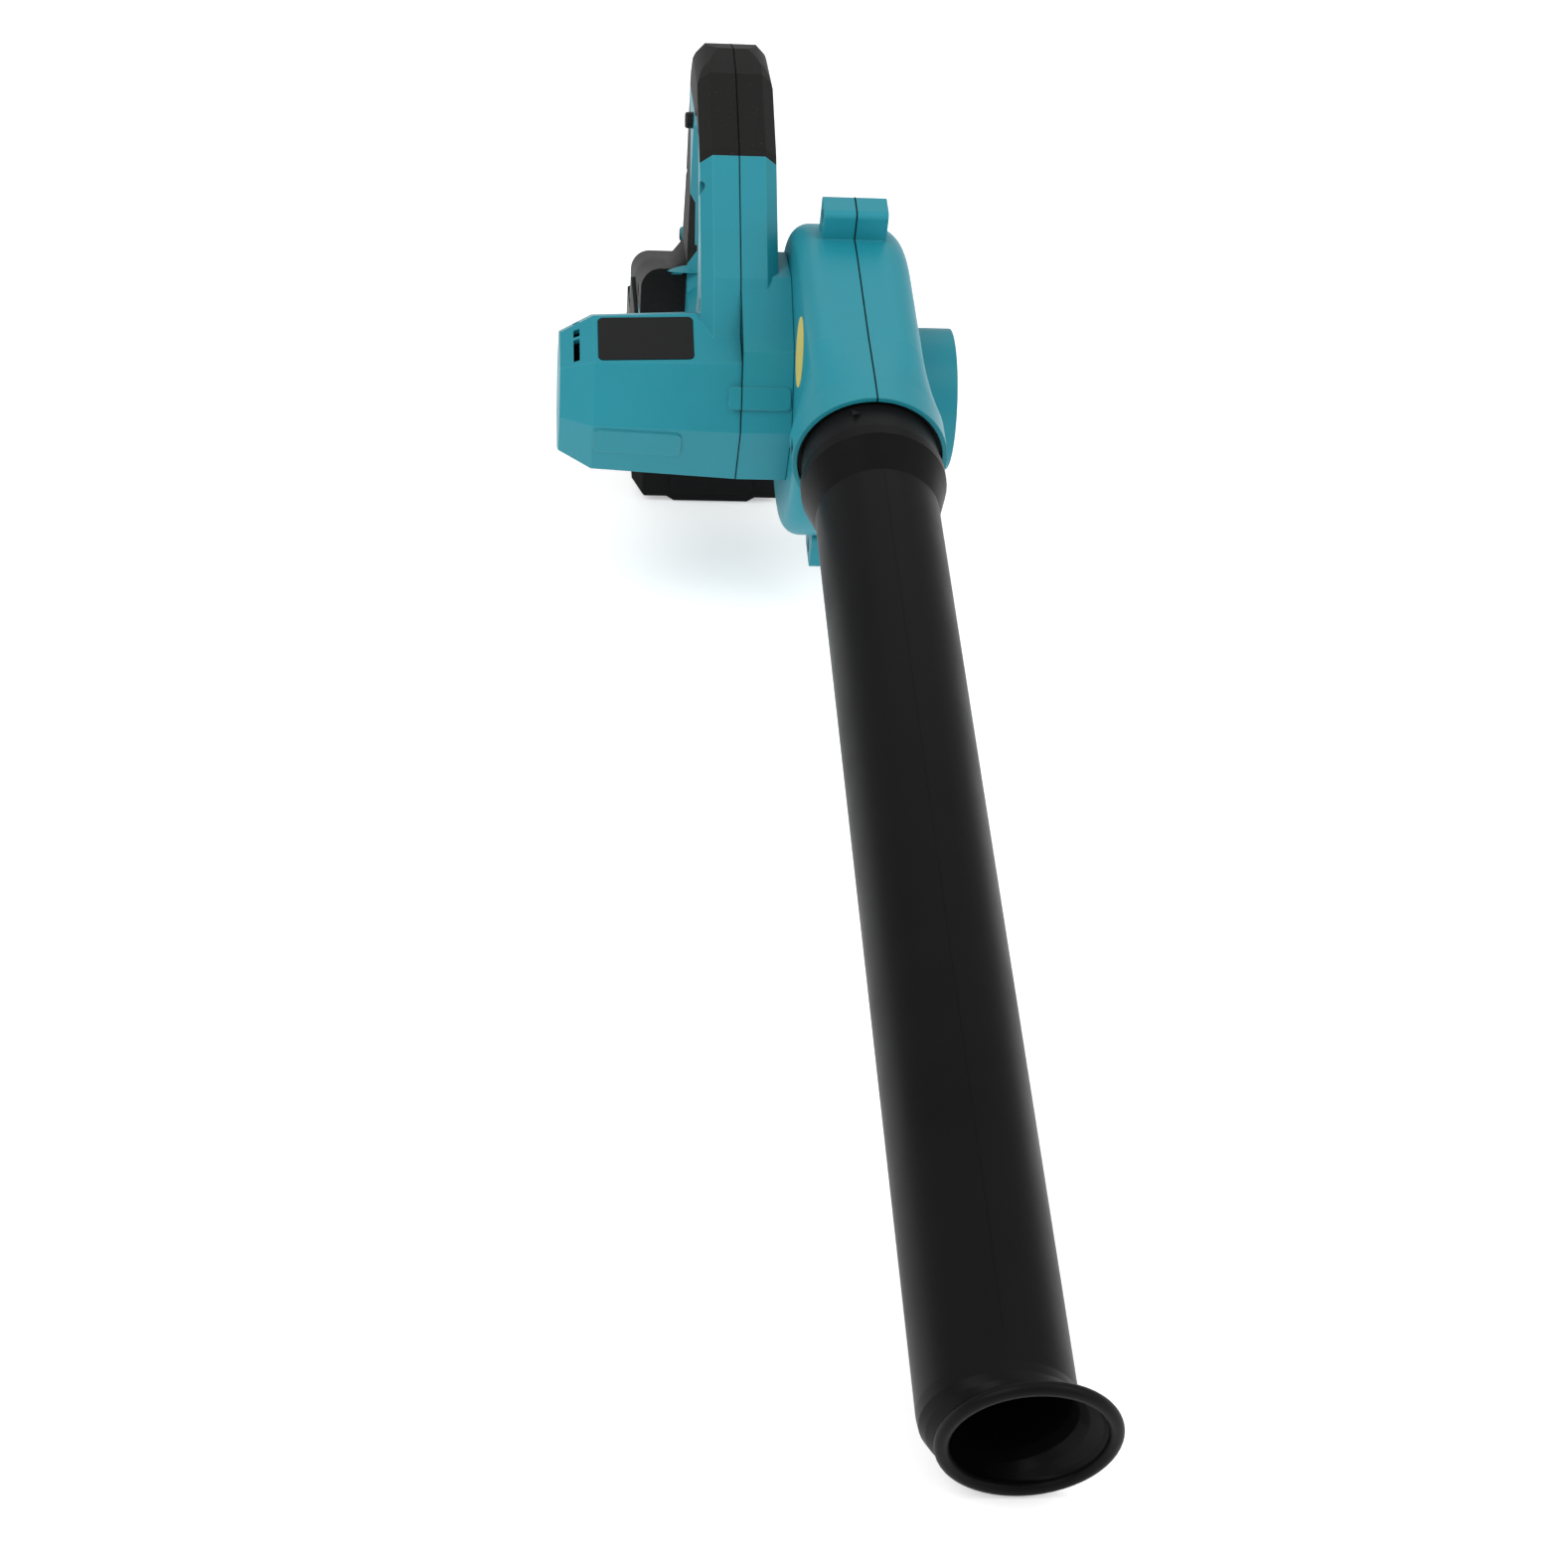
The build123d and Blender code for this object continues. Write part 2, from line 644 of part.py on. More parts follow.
for sign, name in ((-1, "bumper_left"), (1, "bumper_right")):
    with BuildPart() as bumper:
        with BuildSketch(side(handle_x + sign * foot_half)):
            with Locations((128, 78)):
                RectangleRounded(44, 24, 3)
        extrude(amount=sign * 1.8)
    save(bumper, name)

# ---------------------------------------------------------------- trigger and lock button
with BuildPart() as trigger:
    with BuildSketch(side(handle_x - trigger_half)):
        with BuildLine():
            Polyline((90, 181), (79, 180.5), (76.5, 174), (76, 168), (78.5, 161), (84, 159.4), (97, 161), (97, 181), close=True)
        make_face()
    extrude(amount=2 * trigger_half)
    front_edges = [e for e in trigger.faces().filter_by(Axis.X).edges() if e.center().Y < 83]
    fillet(front_edges, 2.2)
    with BuildSketch(Plane(origin=(handle_x, 96.5, 171), x_dir=(1, 0, 0), z_dir=(0, 1, 0))):
        Circle(1.6)
    extrude(amount=9.5)
save(trigger, "trigger")

with BuildPart() as lock_button:
    add(side_rod(-66.2, -28.2, 3.6, button_spot))
    tips = lock_button.faces().filter_by(Axis.X).edges()
    fillet(tips, 1.0)
    add(side_rod(-50.0, -42.0, 4.6, button_spot))
save(lock_button, "lock_button")

with BuildPart() as switch_module:
    add(slab(handle_x - 9, handle_x + 9, 105, 122, 158, 181))
    with BuildSketch(Plane(origin=(handle_x, 104, 171), x_dir=(1, 0, 0), z_dir=(0, 1, 0))):
        Circle(2.4)
    extrude(amount=12, mode=Mode.SUBTRACT)
    with Locations((handle_x - 5, 113, 156), (handle_x + 5, 113, 156)):
        Box(4, 0.8, 5)
save(switch_module, "switch_module")

# ---------------------------------------------------------------- motor
with BuildPart() as motor_can:
    add(x_rod(-98, -36, 25))
    add(x_rod(-39, -30.2, 12))
    add(x_rod(-105, -97, 11))
    add(x_rod(-96.4, -37.6, 22.8), mode=Mode.SUBTRACT)
    add(x_rod(-37.4, -30, 9.5), mode=Mode.SUBTRACT)
    add(x_rod(-40, -30, 6), mode=Mode.SUBTRACT)
    add(x_rod(-103.4, -97.4, 8), mode=Mode.SUBTRACT)
    add(x_rod(-104, -96, 5), mode=Mode.SUBTRACT)
    for k in range(6):
        add(x_rod(-40, -35, 3.4, polar(17.5, 60 * k)), mode=Mode.SUBTRACT)
        add(x_rod(-99, -95, 2.6, polar(17.5, 60 * k + 30)), mode=Mode.SUBTRACT)
save(motor_can, "motor_can")

with BuildPart() as magnets:
    with BuildSketch(shaft_plane(-86)):
        Circle(22.7)
        Circle(16.6, mode=Mode.SUBTRACT)
        Rectangle(6, 50, mode=Mode.SUBTRACT)
    extrude(amount=38)
save(magnets, "magnets")

with BuildPart() as brush_gear:
    with BuildSketch(shaft_plane(-95.9)):
        Circle(22.6)
        Circle(12, mode=Mode.SUBTRACT)
    extrude(amount=2.2)
    with BuildSketch(shaft_plane(-93.7)):
        with Locations((0, 12.2), (0, -12.2)):
            Rectangle(5, 7.2)
    extrude(amount=5)
save(brush_gear, "brush_gear")


def ball_bearing(x0, x1, outer, name):
    with BuildPart() as bearing:
        add(x_rod(x0, x1, outer - 0.03))
        add(x_rod(x0 - 1, x1 + 1, shaft_r + 0.03), mode=Mode.SUBTRACT)
        with BuildSketch(shaft_plane(x0)):
            Circle(outer - 1.5)
            Circle(shaft_r + 1.4, mode=Mode.SUBTRACT)
        extrude(amount=0.6, mode=Mode.SUBTRACT)
        with BuildSketch(shaft_plane(x1 - 0.6)):
            Circle(outer - 1.5)
            Circle(shaft_r + 1.4, mode=Mode.SUBTRACT)
        extrude(amount=1, mode=Mode.SUBTRACT)
    save(bearing, name)


ball_bearing(-37.4, -31.4, 9.5, "front_bearing")
ball_bearing(-103.3, -98.3, 8, "rear_bearing")

with BuildPart() as motor_plate:
    with BuildSketch(shaft_plane(-35.8)):
        Circle(32.0)
        Circle(12.1, mode=Mode.SUBTRACT)
        with PolarLocations(22, 8):
            Circle(4.5, mode=Mode.SUBTRACT)
    extrude(amount=3.2)
save(motor_plate, "motor_plate")

with BuildPart() as motor_cradle:
    with BuildSketch(shaft_plane(-92)):
        Circle(30.2)
        Circle(25.1, mode=Mode.SUBTRACT)
        with PolarLocations(29.5, 8):
            Circle(3.2, mode=Mode.SUBTRACT)
    extrude(amount=6)
save(motor_cradle, "motor_cradle")

with BuildPart() as shaft:
    add(x_rod(-104, 12.5, shaft_r))
    tips = shaft.faces().filter_by(Axis.X).edges()
    chamfer(tips, 0.5)
save(shaft, "shaft")

with BuildPart() as rotor_core:
    with BuildSketch(shaft_plane(-85)):
        Circle(15.4)
        Circle(shaft_r, mode=Mode.SUBTRACT)
        with PolarLocations(14.2, 12):
            Rectangle(3.4, 1.8, mode=Mode.SUBTRACT)
        with PolarLocations(11, 12):
            Circle(1.7, mode=Mode.SUBTRACT)
    extrude(amount=36)
save(rotor_core, "rotor_core")

with BuildPart() as commutator:
    with BuildSketch(shaft_plane(-94)):
        Circle(8.2)
        Circle(shaft_r, mode=Mode.SUBTRACT)
        with PolarLocations(8.2, 12):
            Rectangle(1.6, 0.5, mode=Mode.SUBTRACT)
    extrude(amount=8)
save(commutator, "commutator")

# ---------------------------------------------------------------- impeller
def blade_outline():
    """One backward-curved blade between the eye and the rim."""
    outer_side = []
    inner_side = []
    for k in range(9):
        t = k / 8
        radius = 22 + (impeller_r - 0.6 - 22) * t
        angle = -42 * t ** 0.85
        half_thick = degrees(0.75 / radius)
        outer_side.append(polar(radius, angle + half_thick))
        inner_side.append(polar(radius, angle - half_thick))
    return outer_side + inner_side[::-1]


with BuildPart() as impeller:
    add(x_rod(-18, -16.2, impeller_r))
    add(x_rod(-18, 2, 9))
    with BuildSketch(shaft_plane(-16.4)):
        with PolarLocations(0, blade_count):
            Polygon(*blade_outline(), align=None)
    extrude(amount=26)
    with BuildSketch(shaft_plane(9.4)):
        Circle(impeller_r)
        Circle(28, mode=Mode.SUBTRACT)
    extrude(amount=1.6)
    add(x_rod(-20, 10, shaft_r), mode=Mode.SUBTRACT)
save(impeller, "impeller")

with BuildPart() as impeller_nut:
    with BuildSketch(shaft_plane(2)):
        Circle(7.5)
        Circle(shaft_r, mode=Mode.SUBTRACT)
    extrude(amount=1.2)
    with BuildSketch(shaft_plane(3.2)):
        RegularPolygon(5.8, 6)
        Circle(shaft_r, mode=Mode.SUBTRACT)
    extrude(amount=5)
save(impeller_nut, "impeller_nut")

# ---------------------------------------------------------------- battery mount, electronics, wires
with BuildPart() as battery_mount:
    add(slab(handle_x - 33, handle_x + 33, 100.5, 181, foot_low + 8, foot_low + 10.6))
    for offset_x in (-13, 0, 13):
        add(slab(handle_x + offset_x - 1.2, handle_x + offset_x + 1.2, 97, 114, foot_low + 7, foot_low + 12),
            mode=Mode.SUBTRACT)
save(battery_mount, "battery_mount")

with BuildPart() as terminals:
    add(slab(handle_x - 20, handle_x + 20, 98, 116, foot_low + 10.8, foot_low + 16))
    for offset_x in (-13, 0, 13):
        add(slab(handle_x + offset_x - 0.4, handle_x + offset_x + 0.4, 99, 112, foot_low + 3, foot_low + 11))
save(terminals, "terminals")

with BuildPart() as controller:
    add(slab(handle_x - 30, handle_x + 30, 122, 176, foot_low + 11, foot_low + 13))
    add(slab(handle_x - 27, handle_x - 5, 126, 172, foot_low + 12.8, foot_low + 24))
    for k in range(6):
        add(slab(handle_x - 26 + 4 * k, handle_x - 24.4 + 4 * k, 127, 171, foot_low + 16, foot_low + 26), mode=Mode.SUBTRACT)
    add(slab(handle_x + 4, handle_x + 20, 130, 150, foot_low + 12.8, foot_low + 19))
save(controller, "controller")


def wire(points, radius):
    with BuildPart() as strand:
        with BuildLine():
            Spline(*points)
        with BuildSketch(Plane(origin=points[0], z_dir=(0, 0, 1))):
            Circle(radius)
        sweep()
    return strand.part


with BuildPart() as wiring:
    add(wire([(handle_x - 5, 103, 91), (handle_x - 5, 103, 115), (handle_x - 5, 107, 138), (handle_x - 5, 112, 153)], 1.5))
    add(wire([(handle_x + 5, 103, 91), (handle_x + 5, 103, 115), (handle_x + 5, 107, 138), (handle_x + 5, 112, 153)], 1.5))
save(wiring, "wiring")

# ---------------------------------------------------------------- battery pack
with BuildPart() as pack_solid:
    with BuildSketch(Plane(origin=(handle_x, pack_front, 0), x_dir=(1, 0, 0), z_dir=(0, 1, 0))):
        with BuildLine():
            Polyline((-pack_half, -pack_high), (pack_half, -pack_high), (pack_half, -9), (pack_half - 6, -2.2),
                     (21, -2.2), (17.5, 0), (-17.5, 0), (-21, -2.2), (-pack_half + 6, -2.2), (-pack_half, -9), close=True)
        make_face()
    extrude(amount=pack_back - pack_front)
    upright = pack_solid.edges().filter_by(Axis.Z)
    chamfer(upright, 5)
    with BuildSketch(Plane(origin=(handle_x, pack_front, 26), x_dir=(1, 0, 0), z_dir=(0, -1, 0))):
        with Locations((0, 2)):
            RectangleRounded(39, 46, 4)
    extrude(amount=2.4)

with BuildPart() as pack_tongue:
    add(slab(handle_x - 24.2, handle_x + 24.2, 97, 200, pack_high - 1, foot_low + 3.6))
    add(slab(handle_x - 28.2, handle_x + 28.2, 97, 200, foot_low + 3.2, foot_low + 7.2))
    for offset_x in (-13, 0, 13):
        add(slab(handle_x + offset_x - 1.4, handle_x + offset_x + 1.4, 96, 116, pack_high, foot_low + 8), mode=Mode.SUBTRACT)

button_pocket = slab(handle_x - 14.4, handle_x + 14.4, pack_back - 8.5, pack_back + 3, 40, 58.4)

with BuildPart() as pack_lower:
    add(pack_solid.part)
    add(slab(handle_x - 40, handle_x + 40, 80, 220, 38, 90), mode=Mode.SUBTRACT)
    add(slab(handle_x - pack_half + 3, handle_x + pack_half - 3, pack_front + 3, pack_back - 3, 4.4, 39), mode=Mode.SUBTRACT)
save(pack_lower, "pack_lower")

with BuildPart() as pack_upper:
    add(pack_solid.part)
    add(slab(handle_x - 40, handle_x + 40, 80, 220, -5, 38), mode=Mode.SUBTRACT)
    add(pack_tongue.part)
    add(slab(handle_x - pack_half + 3, handle_x + pack_half - 3, pack_front + 3, pack_back - 10, 37, pack_high - 3),
        mode=Mode.SUBTRACT)
    add(button_pocket, mode=Mode.SUBTRACT)
save(pack_upper, "pack_upper")

with BuildPart() as cells:
    for row in range(2):
        for column in range(5):
            if (row, column) != (1, 4):
                with BuildSketch(Plane(origin=(handle_x - 33, pack_front + 14 + 19.3 * column, 14.4 + 19.3 * row),
                                       x_dir=(0, 1, 0), z_dir=(1, 0, 0))):
                    Circle(9.0)
                extrude(amount=65)
save(cells, "cells")

with BuildPart() as pack_release:
    add(slab(handle_x - 14, handle_x + 14, pack_back - 7, pack_back + 1.6, 46.4, 58))
    front_edges = [e for e in pack_release.edges() if e.center().Y > pack_back + 1]
    fillet(front_edges, 1.4)
    for k in range(3):
        add(slab(handle_x - 9, handle_x + 9, pack_back + 1, pack_back + 2, 49 + 3 * k, 50 + 3 * k), mode=Mode.SUBTRACT)
save(pack_release, "pack_release")
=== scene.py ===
import json
from math import cos, sin, radians, pi

import bmesh
import bpy
from mathutils import Matrix, Vector
from mathutils.bvhtree import BVHTree


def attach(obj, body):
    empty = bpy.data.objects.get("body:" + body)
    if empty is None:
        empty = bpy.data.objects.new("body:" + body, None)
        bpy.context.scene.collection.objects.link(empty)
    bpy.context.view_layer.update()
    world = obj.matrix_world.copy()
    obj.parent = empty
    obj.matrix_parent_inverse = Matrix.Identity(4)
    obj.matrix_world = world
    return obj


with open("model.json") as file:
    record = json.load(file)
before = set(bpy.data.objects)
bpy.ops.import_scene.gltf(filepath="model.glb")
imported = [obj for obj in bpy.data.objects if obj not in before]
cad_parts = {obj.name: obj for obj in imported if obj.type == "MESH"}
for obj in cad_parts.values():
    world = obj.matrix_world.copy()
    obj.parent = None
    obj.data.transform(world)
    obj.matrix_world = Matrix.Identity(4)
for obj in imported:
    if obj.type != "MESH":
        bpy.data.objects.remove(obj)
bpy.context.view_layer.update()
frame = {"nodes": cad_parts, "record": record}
nodes = frame["nodes"]

# ---------------------------------------------------------------- dimensions shared with the CAD, in metres
TILT = radians(12)
FORWARD = Vector((0, -cos(TILT), -sin(TILT)))   # along the nozzle, the way the air leaves
UP = Vector((0, -sin(TILT), cos(TILT)))
ACROSS = Vector((1, 0, 0))
NOZZLE_X = 0.046
HUB = Vector((NOZZLE_X, -0.150, 0.0996))        # middle of the fan
SOCKET = HUB + 0.100 * FORWARD + 0.046 * UP     # nozzle axis at the rim of the outlet
TUBE_R = 0.0245


# ---------------------------------------------------------------- materials
def socket_set(node, **values):
    for name, value in values.items():
        node.inputs[name.replace("_", " ")].default_value = value


def moulded(name, colour, rough, grain=2200, bump=0.04, vary=0.06, edge=0.0006,
            coat=0.0, edge_highlight=None, speckle=0.0, shine=0.3):
    """Plastic, rubber or metal with grain, uneven gloss, slight colour drift and softened edges, with an optional
    highlight painted lighter along the edges.
    """
    mat = bpy.data.materials.new(name)
    mat.use_nodes = True
    tree = mat.node_tree
    tree.nodes.clear()
    link = tree.links.new

    def add(kind, **values):
        node = tree.nodes.new("ShaderNode" + kind)
        socket_set(node, **values)
        return node

    def noise(**values):
        node = add("TexNoise", **values)
        link(coords.outputs["Object"], node.inputs["Vector"])
        return node.outputs["Fac"]

    def ramp(factor, *stops):
        node = add("ValToRGB")
        for element, (position, shade) in zip(node.color_ramp.elements, stops):
            element.position = position
            element.color = (*shade, 1)
        link(factor, node.inputs["Fac"])
        return node.outputs["Color"]

    def mix(factor, below, above):
        node = add("Mix")
        node.data_type = "RGBA"
        node.inputs["B"].default_value = (*above, 1)
        link(factor, node.inputs["Factor"])
        link(below, node.inputs["A"])
        return node.outputs["Result"]

    out = add("OutputMaterial")
    bsdf = add("BsdfPrincipled", Coat_Weight=coat, Coat_Roughness=0.25, Specular_IOR_Level=shine)
    link(bsdf.outputs["BSDF"], out.inputs["Surface"])
    coords = add("TexCoord")
    broad = noise(Scale=14.0, Detail=4.0, Roughness=0.6)
    fine = noise(Scale=grain, Detail=3.0, Roughness=0.55)
    bevel = add("Bevel", Radius=edge)
    bevel.samples = 6

    # colour: slow drift, then a highlight painted lighter along the edges, then specks of dust
    low = [c * (1 - vary) for c in colour]
    high = [min(1.0, c * (1 + vary)) for c in colour]
    colour_out = ramp(broad, (0.3, low), (0.7, high))
    if edge_highlight:
        # painted highlight: an edge is where the softened normal leaves the true one, and there the colour is
        # pushed towards a lighter tint
        geometry = add("NewGeometry")
        turn = add("VectorMath")
        turn.operation = "DOT_PRODUCT"
        link(bevel.outputs["Normal"], turn.inputs[0])
        link(geometry.outputs["Normal"], turn.inputs[1])
        edge_highlight_mask = add("MapRange", From_Min=0.998, From_Max=0.90, To_Min=0.0, To_Max=0.55)
        link(turn.outputs["Value"], edge_highlight_mask.inputs["Value"])
        colour_out = mix(edge_highlight_mask.outputs["Result"], colour_out, edge_highlight)
    if speckle:
        specks = ramp(noise(Scale=900.0, Detail=2.0), (0.66, (0, 0, 0)), (0.74, [speckle] * 3))
        colour_out = mix(specks, colour_out, (0.4, 0.4, 0.4))
    link(colour_out, bsdf.inputs["Base Color"])

    gloss = add("MapRange", From_Min=0.3, From_Max=0.7,
                To_Min=max(0.05, rough - 0.06), To_Max=min(1.0, rough + 0.07))
    link(broad, gloss.inputs["Value"])
    link(gloss.outputs["Result"], bsdf.inputs["Roughness"])

    relief = add("Bump", Strength=bump * 4, Distance=0.0002)
    link(fine, relief.inputs["Height"])
    link(bevel.outputs["Normal"], relief.inputs["Normal"])
    link(relief.outputs["Normal"], bsdf.inputs["Normal"])
    return mat


def metal(name, colour, rough):
    mat = moulded(name, colour, rough, grain=1500, bump=0.03, vary=0.05, edge=0.0003)
    bsdf = next(n for n in mat.node_tree.nodes if n.type == "BSDF_PRINCIPLED")
    bsdf.inputs["Metallic"].default_value = 1.0
    return mat


materials = {
    # the lighter teal given last is a highlight painted along the edges
    "teal_shell": moulded("teal_plastic", (0.012, 0.220, 0.278), 0.42, grain=2600, bump=0.05, edge=0.0007,
                          vary=0.05, shine=0.28, edge_highlight=(0.045, 0.33, 0.39)),
    "nozzle_plastic": moulded("nozzle_black", (0.0045, 0.0045, 0.0047), 0.40, grain=3200, bump=0.03,
                              edge=0.0005, vary=0.12, shine=0.07),
    "socket_plastic": moulded("socket_black", (0.005, 0.005, 0.0053), 0.42, grain=2600, edge=0.0004, shine=0.1),
    "grip_rubber": moulded("soft_grip", (0.0075, 0.0073, 0.007), 0.60, grain=1800, bump=0.16, edge=0.0008,
                           speckle=0.04, shine=0.14),
    "button_plastic": moulded("button_black", (0.006, 0.006, 0.0065), 0.36, edge=0.0004, shine=0.3),
    "screw_steel": metal("screw_zinc", (0.10, 0.10, 0.105), 0.42),
    "label_black": moulded("blank_label", (0.010, 0.010, 0.0105), 0.40, grain=1200, bump=0.02, edge=0.0002,
                           shine=0.15),
    "sticker_yellow": moulded("plain_sticker", (0.78, 0.60, 0.10), 0.32, grain=1200, bump=0.02, coat=0.2,
                              edge=0.0001),
    "pack_plastic": moulded("pack_black", (0.003, 0.003, 0.0032), 0.44, grain=2400, bump=0.07, edge=0.0007,
                            shine=0.1),
    "pack_button": moulded("release_red", (0.36, 0.012, 0.010), 0.40, edge=0.0006),
    "fan_plastic": moulded("fan_black", (0.02, 0.02, 0.022), 0.45, edge=0.0003),
    "inner_plastic": moulded("inner_grey", (0.02, 0.02, 0.022), 0.50, edge=0.0003),
    "motor_steel": metal("motor_zinc", (0.10, 0.10, 0.105), 0.5),
    "core_steel": metal("core_laminations", (0.30, 0.30, 0.32), 0.42),
    "ferrite": moulded("ferrite_grey", (0.03, 0.03, 0.032), 0.55),
    "copper": metal("copper_bars", (0.62, 0.28, 0.12), 0.32),
    "circuit": moulded("board_green", (0.02, 0.12, 0.05), 0.35, coat=0.4),
    "wire_skin": moulded("wire_red", (0.35, 0.02, 0.02), 0.45),
    "cell_wrap": moulded("cell_blue", (0.03, 0.10, 0.30), 0.35, coat=0.3),
}
seam_dark = moulded("seam_shadow", (0.003, 0.012, 0.014), 0.9, bump=0.02, edge=0.0001, shine=0.05)
# near-black for the cap's seam line and for the painted shade inside the cooling slots
seam_and_shade_black = moulded("seam_and_shade_black", (0.001, 0.001, 0.001), 0.9, bump=0.02, edge=0.0001, shine=0.05)

for entry in frame["record"]["subparts"]:
    node = nodes[entry["node"]]
    node.data.materials.clear()
    node.data.materials.append(materials[entry["material_slot"]])
    for face in node.data.polygons:
        face.use_smooth = True
        face.material_index = 0


# ---------------------------------------------------------------- added detail
def add_piece(name, mesh, mat, body):
    """Puts a finished mesh in the scene on the body that carries it."""
    piece = bpy.data.objects.new(name, mesh)
    bpy.context.scene.collection.objects.link(piece)
    mesh.materials.append(mat)
    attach(piece, body)


def mesh_from(name, verts, faces):
    mesh = bpy.data.meshes.new(name)
    mesh.from_pydata([tuple(v) for v in verts], [], faces)
    mesh.update()
    return mesh


def nozzle_point(distance, height):
    """A point given along the nozzle and above its axis."""
    return SOCKET + distance * FORWARD + height * UP


RIB_HALF_WIDTH = 0.0003
RIB_LIFT = 0.00007      # stands out of the wall
RIB_ROOT = 0.0004       # sunk into the wall


def mould_rib(name, spine, out_dir, body, mat):
    """Thin raised rib that follows a line of points, closed all round."""
    verts, faces = [], []
    side = ACROSS * RIB_HALF_WIDTH
    for p in spine:
        root, crest = p - out_dir * RIB_ROOT, p + out_dir * RIB_LIFT
        verts += [root - side, root + side, crest + side * 0.4, crest - side * 0.4]
    end = 4 * (len(spine) - 1)
    for a in range(0, end, 4):
        b = a + 4
        faces += [(a + k, a + (k + 1) % 4, b + (k + 1) % 4, b + k) for k in range(4)]
    faces += [(3, 2, 1, 0), (end, end + 1, end + 2, end + 3)]
    add_piece(name, mesh_from(name, verts, faces), mat, body)


SEAM_OVERLAP = 0.00015  # each length runs on past its ends, so that the line has no gaps
SEAM_DEPTH = 0.4        # half depth, as a share of the width


def parting_line(name, node, station, width, near, body, mat):
    """Fine dark line where two mouldings meet: the outline of a node cut at one x, kept where near() allows."""
    cut = bmesh.new()
    cut.from_mesh(nodes[node].data)
    section = bmesh.ops.bisect_plane(cut, geom=cut.verts[:] + cut.edges[:] + cut.faces[:], dist=1e-7,
                                     plane_co=(station, 0, 0), plane_no=(1, 0, 0))
    made = bmesh.new()
    for edge in (e for e in section["geom_cut"] if isinstance(e, bmesh.types.BMEdge)):
        a, b = (v.co.copy() for v in edge.verts)
        along = b - a
        if along.length < 1e-5 or not near((a + b) / 2):
            continue
        along.normalize()
        outward = ACROSS.cross(along).normalized()
        corners = []
        for end, reach in ((a, -SEAM_OVERLAP), (b, SEAM_OVERLAP)):
            for dx, dn in ((-1, -1), (1, -1), (1, 1), (-1, 1)):
                place = end + along * reach + ACROSS * dx * width / 2 + outward * dn * width * SEAM_DEPTH
                corners.append(made.verts.new(place))
        for quad in ((0, 1, 2, 3), (7, 6, 5, 4), (0, 4, 5, 1), (1, 5, 6, 2), (2, 6, 7, 3), (3, 7, 4, 0)):
            made.faces.new([corners[i] for i in quad])
    bmesh.ops.recalc_face_normals(made, faces=made.faces)
    mesh = bpy.data.meshes.new(name)
    made.to_mesh(mesh)
    made.free()
    cut.free()
    add_piece(name, mesh, mat, body)


def outer_skin(node, station):
    """True for section points that no other part of the node hides from outside, tested by rays in the section."""
    mesh = nodes[node].data
    tree = BVHTree.FromPolygons([v.co for v in mesh.vertices], [tuple(p.vertices) for p in mesh.polygons])
    headings = [Vector((0, cos(k * pi / 8), sin(k * pi / 8))) for k in range(16)]
    clear = 0.0006      # a ray starts this far from the wall it tests

    def test(point):
        start = Vector((station, point.y, point.z))
        return any(tree.ray_cast(start + heading * clear, heading)[0] is None for heading in headings)

    return test


# (place along X from the middle of the fan, radius) of the rings of the black liner that paints the shade inside
# the slots, and its thickness
SHADE_LINER_RINGS = ((-0.1193, 0.0234), (-0.1078, 0.0312), (-0.1000, 0.0316))
SHADE_LINER_THICK = 0.0003


def vent_shade_liner():
    """Octagonal black sheet just inside the cooling slots at the free end of the motor pod: painted shade that
    keeps the inside of the slots dark.
    """
    verts, faces = [], []
    for lining in (0, SHADE_LINER_THICK):
        for x, radius in SHADE_LINER_RINGS:
            for k in range(8):
                angle = radians(45 * k)
                verts.append((x + NOZZLE_X, HUB.y + (radius - lining) * cos(angle),
                              HUB.z + (radius - lining) * sin(angle)))
    inner = 8 * len(SHADE_LINER_RINGS)       # first point of the inner lining
    last = inner - 8                    # first point of the last outer ring
    for k in range(8):
        nxt = (k + 1) % 8
        for ring in range(0, last, 8):
            a, b, c, d = ring + k, ring + nxt, ring + 8 + nxt, ring + 8 + k
            faces += [(a, b, c, d), (d + inner, c + inner, b + inner, a + inner)]
        faces.append((nxt, k, k + inner, nxt + inner))
        faces.append((last + k, last + nxt, last + nxt + inner, last + k + inner))
    add_piece("vent_shade_liner", mesh_from("vent_shade_liner", verts, faces), seam_and_shade_black, "blower")


for sign, name in ((1, "nozzle_seam_top"), (-1, "nozzle_seam_under")):
    spine = [nozzle_point(0.039 + 0.4 * k / 20, sign * TUBE_R) for k in range(21)]
    mould_rib(name, spine, sign * UP, "nozzle_tube", materials["nozzle_plastic"])

# black sheet that paints the shade inside the cooling slots
vent_shade_liner()

for name, node, station, width, slot, mat in (
        ("case_seam_line", "scroll_outer", NOZZLE_X + 0.0001, 0.0005, "teal_shell", seam_dark),
        ("housing_seam_line", "housing_right", 0.0001, 0.00042, "teal_shell", seam_dark),
        ("cap_seam_line", "grip_cap_right", 0.0001, 0.00035, "grip_rubber", seam_and_shade_black)):
    parting_line(name, node, station, width, outer_skin(node, station), "blower", mat)

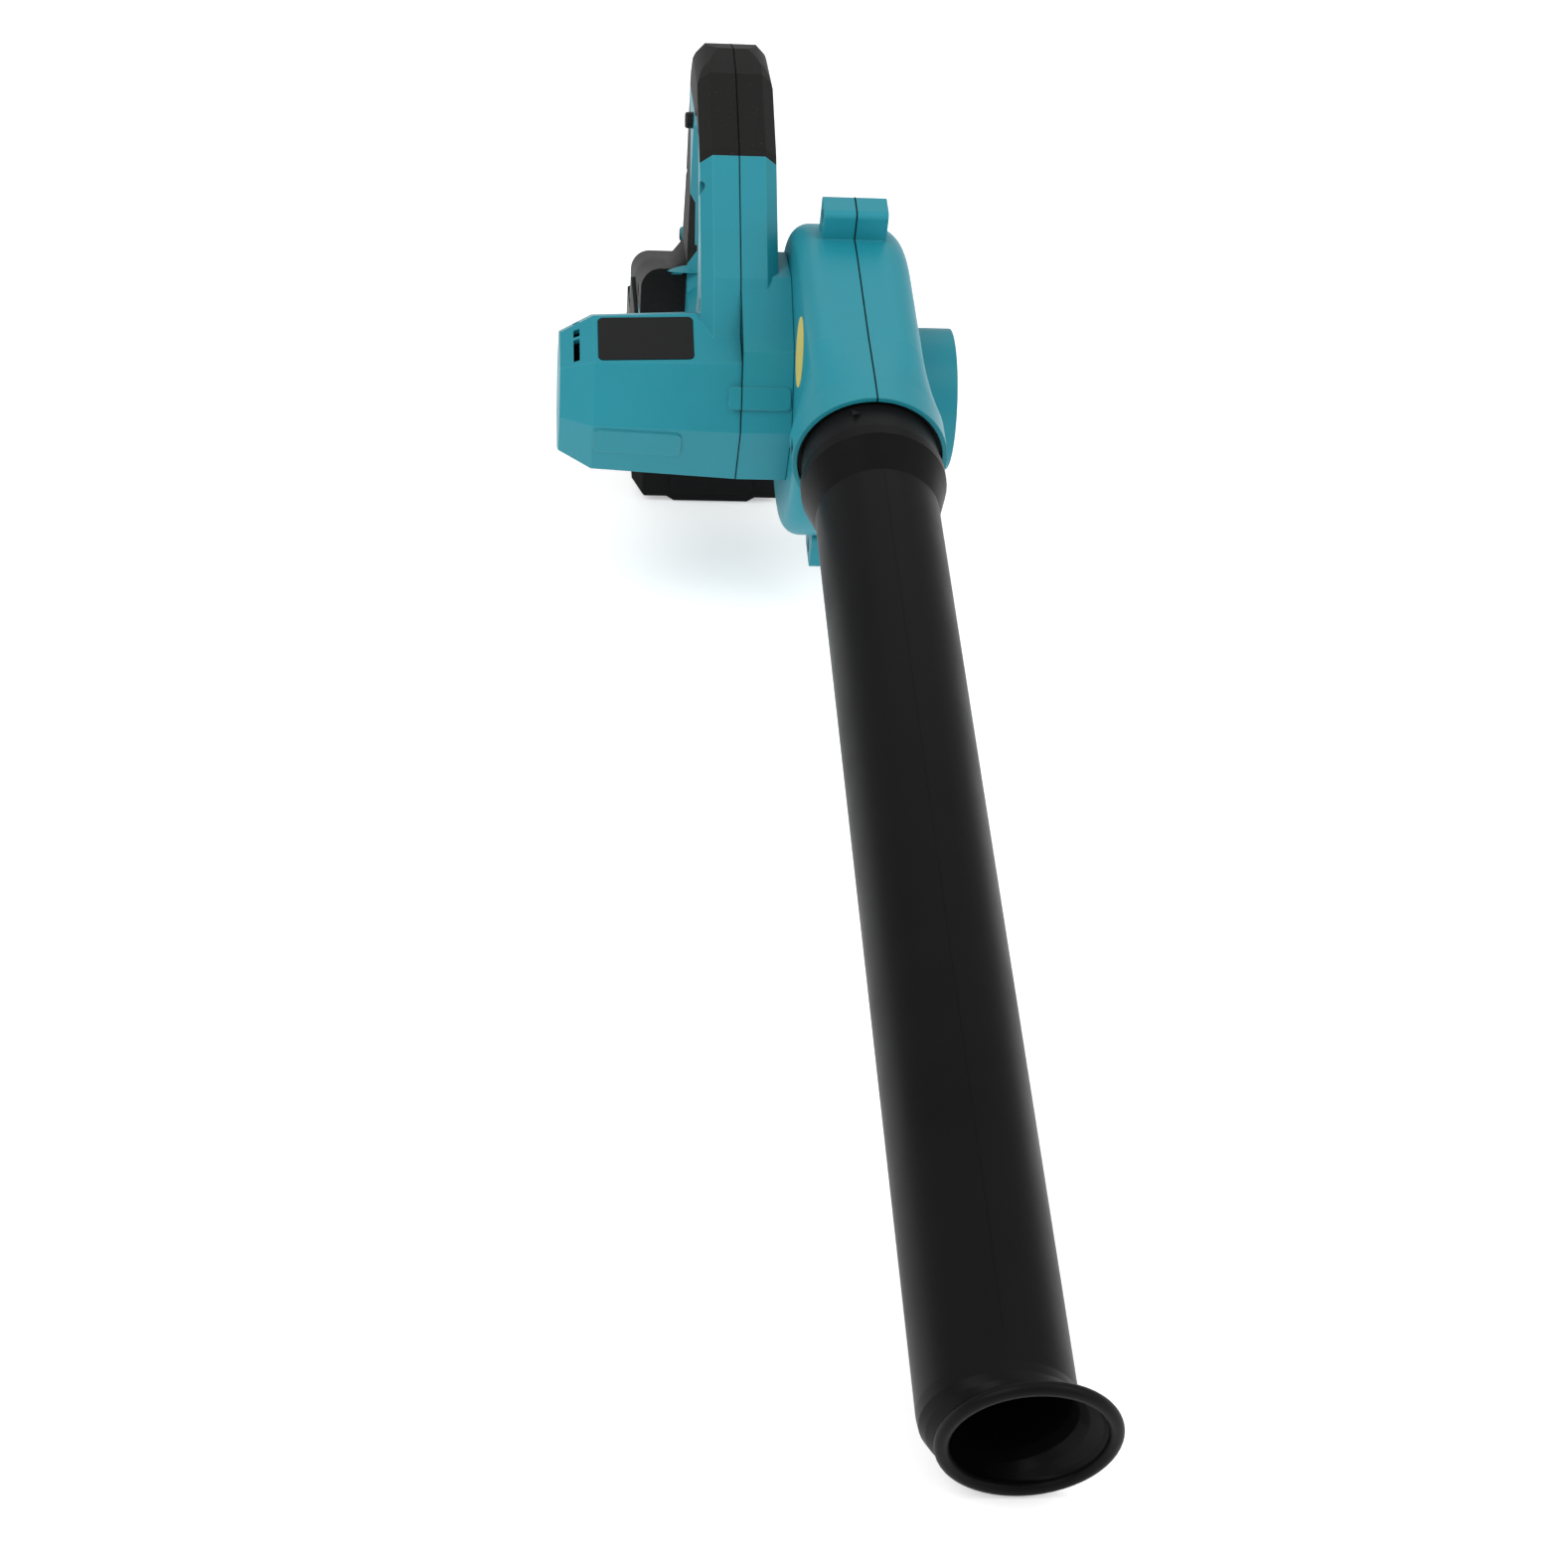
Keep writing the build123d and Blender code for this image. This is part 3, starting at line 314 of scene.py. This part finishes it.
# ---------------------------------------------------------------- floor, light and camera
floor_mat = bpy.data.materials.new("studio_floor")
floor_mat.use_nodes = True
floor_tree = floor_mat.node_tree
floor_bsdf = floor_tree.nodes["Principled BSDF"]
floor_noise = floor_tree.nodes.new("ShaderNodeTexNoise")
socket_set(floor_noise, Scale=3.0, Detail=2.0)
floor_ramp = floor_tree.nodes.new("ShaderNodeValToRGB")
for element, grey in zip(floor_ramp.color_ramp.elements, (0.86, 0.90)):
    element.color = (grey, grey, grey, 1)
floor_tree.links.new(floor_noise.outputs["Fac"], floor_ramp.inputs["Fac"])
floor_tree.links.new(floor_ramp.outputs["Color"], floor_bsdf.inputs["Base Color"])
socket_set(floor_bsdf, Roughness=0.9, Emission_Strength=0.42, Emission_Color=(1, 1, 1, 1))

bpy.ops.mesh.primitive_plane_add(size=40, location=(0, 0, -0.0005))
floor = bpy.context.object
floor.name = "floor"
floor.data.materials.append(floor_mat)

world = bpy.data.worlds.new("studio")
bpy.context.scene.world = world
world.use_nodes = True
socket_set(world.node_tree.nodes["Background"], Color=(1, 1, 1, 1), Strength=0.62)
bpy.context.scene.view_settings.view_transform = "Standard"

for name, place, aim, size, power in (
        ("key", (-1.3, -1.1, 1.9), (0, -0.25, 0.1), (1.4, 1.4), 24),
        ("fill", (1.7, -1.2, 1.3), (0, -0.25, 0.1), (1.6, 1.6), 9),
        ("back", (0.1, 1.5, 1.8), (0, -0.2, 0.1), (2.0, 1.0), 5),
        ("strip_nozzle", (0.75, -0.75, 1.2), (0.05, -0.45, 0.05), (0.25, 1.2), 5)):
    data = bpy.data.lights.new(name, "AREA")
    data.shape = "RECTANGLE"
    data.size, data.size_y = size
    data.energy = power
    lamp = bpy.data.objects.new(name, data)
    lamp.location = place
    lamp.rotation_euler = (Vector(aim) - Vector(place)).to_track_quat("-Z", "Y").to_euler()
    bpy.context.scene.collection.objects.link(lamp)

camera_data = bpy.data.cameras.new("camera")
camera_data.lens = 70.616
camera_data.sensor_width = 36.0
camera_data.clip_end = 100
camera = bpy.data.objects.new("camera", camera_data)
camera.matrix_world = Matrix((      # columns: right, up, back, place
    (0.99490, -0.01047, -0.10029, -0.1103),
    (-0.07908, 0.53606, -0.84047, -1.3601),
    (0.06256, 0.84412, 0.53250, 0.6684),
    (0, 0, 0, 1)))
bpy.context.scene.collection.objects.link(camera)
bpy.context.scene.camera = camera
